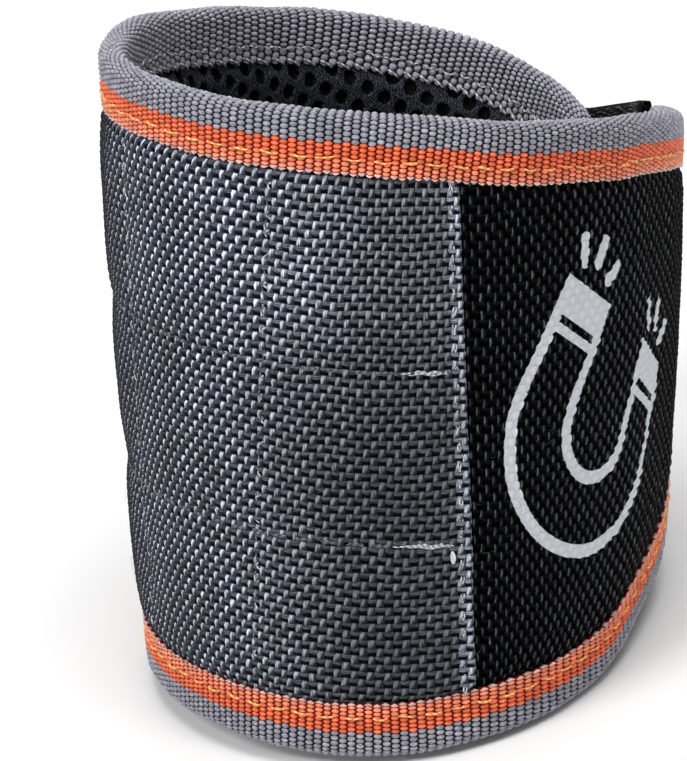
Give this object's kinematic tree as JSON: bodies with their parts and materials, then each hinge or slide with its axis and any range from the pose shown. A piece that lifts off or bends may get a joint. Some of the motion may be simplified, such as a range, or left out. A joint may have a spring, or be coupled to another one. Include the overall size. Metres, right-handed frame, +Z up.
{
  "type": "magnetic wristband",
  "caption": "Padded fabric wristband worn as a closed loop: a charcoal panel over sewn-in magnets holds small steel parts, taped edges, hook-and-loop closure.",
  "frame": {"origin": "centre of the base of the standing loop's box, on the surface it stands on", "axes": "+Z up; -Y towards the magnet panel, the front of the band; +X towards the flap; the loop stands on its lower edge, so its own axis leans 7.7 degrees to the back and the flap side"},
  "size_m": [0.0875, 0.1092, 0.0976],
  "materials": {
    "black_weave": "matte heavy basket-weave nylon",
    "charcoal_weave": "matte heavy basket-weave nylon",
    "edge_tape": "ribbed woven tape, folded over the edge",
    "edge_stripe": "ribbed woven stripe in the edge tape",
    "air_mesh": "open spacer mesh",
    "foam": "soft closed-cell padding",
    "hook_pile": "hook tape",
    "loop_pile": "brushed loop tape",
    "magnet_steel": "nickel-plated magnet",
    "thread": "sewing thread",
    "print_grey": "printed light grey ink"
  },
  "bodies": {
    "band": {"outer_shell_centre": "black_weave", "magnet_panel": "charcoal_weave", "magnet_pocket_sheet": "charcoal_weave", "foam_pad_right": "foam", "foam_pad_left": "foam", "mesh_lining_centre": "air_mesh", "top_edge_tape_centre": "edge_tape", "bottom_edge_tape_centre": "edge_tape", "loop_strip_start": "loop_pile", "magnet_a1": "magnet_steel", "magnet_a2": "magnet_steel", "magnet_a3": "magnet_steel", "magnet_b1": "magnet_steel", "magnet_b2": "magnet_steel", "magnet_b3": "magnet_steel", "magnet_c1": "magnet_steel", "magnet_c2": "magnet_steel", "magnet_c3": "magnet_steel"},
    "flap": {"outer_shell_flap": "black_weave", "foam_pad_flap": "foam", "mesh_lining_flap": "air_mesh", "top_edge_tape_flap": "edge_tape", "bottom_edge_tape_flap": "edge_tape", "end_tape_flap": "edge_tape", "tongue_backing_root": "black_weave", "hook_tape_root": "hook_pile"},
    "tongue": {"tongue_backing": "black_weave", "hook_tape": "hook_pile"},
    "tail": {"outer_shell_tail": "black_weave", "foam_pad_tail": "foam", "mesh_lining_tail": "air_mesh", "top_edge_tape_tail": "edge_tape", "bottom_edge_tape_tail": "edge_tape", "end_tape_tail": "edge_tape", "loop_strip_tail": "loop_pile"}
  },
  "joints": [
    {"name": "flap_hinge", "type": "hinge", "parent": "band", "child": "flap", "pos_m": [0.04142, 0.0093, 0.03829], "axis": [-0.0733, -0.0795, -0.9941], "range_deg": [0, 60]},
    {"name": "tongue_hinge", "type": "hinge", "parent": "flap", "child": "tongue", "pos_m": [0.03275, 0.03055, 0.03761], "axis": [-0.1004, -0.0719, -0.9923], "range_deg": [0, 75]},
    {"name": "tail_hinge", "type": "hinge", "parent": "band", "child": "tail", "pos_m": [-0.00688, 0.03847, 0.04139], "axis": [-0.0758, -0.1733, -0.9819], "range_deg": [0, 20]}
  ]
}
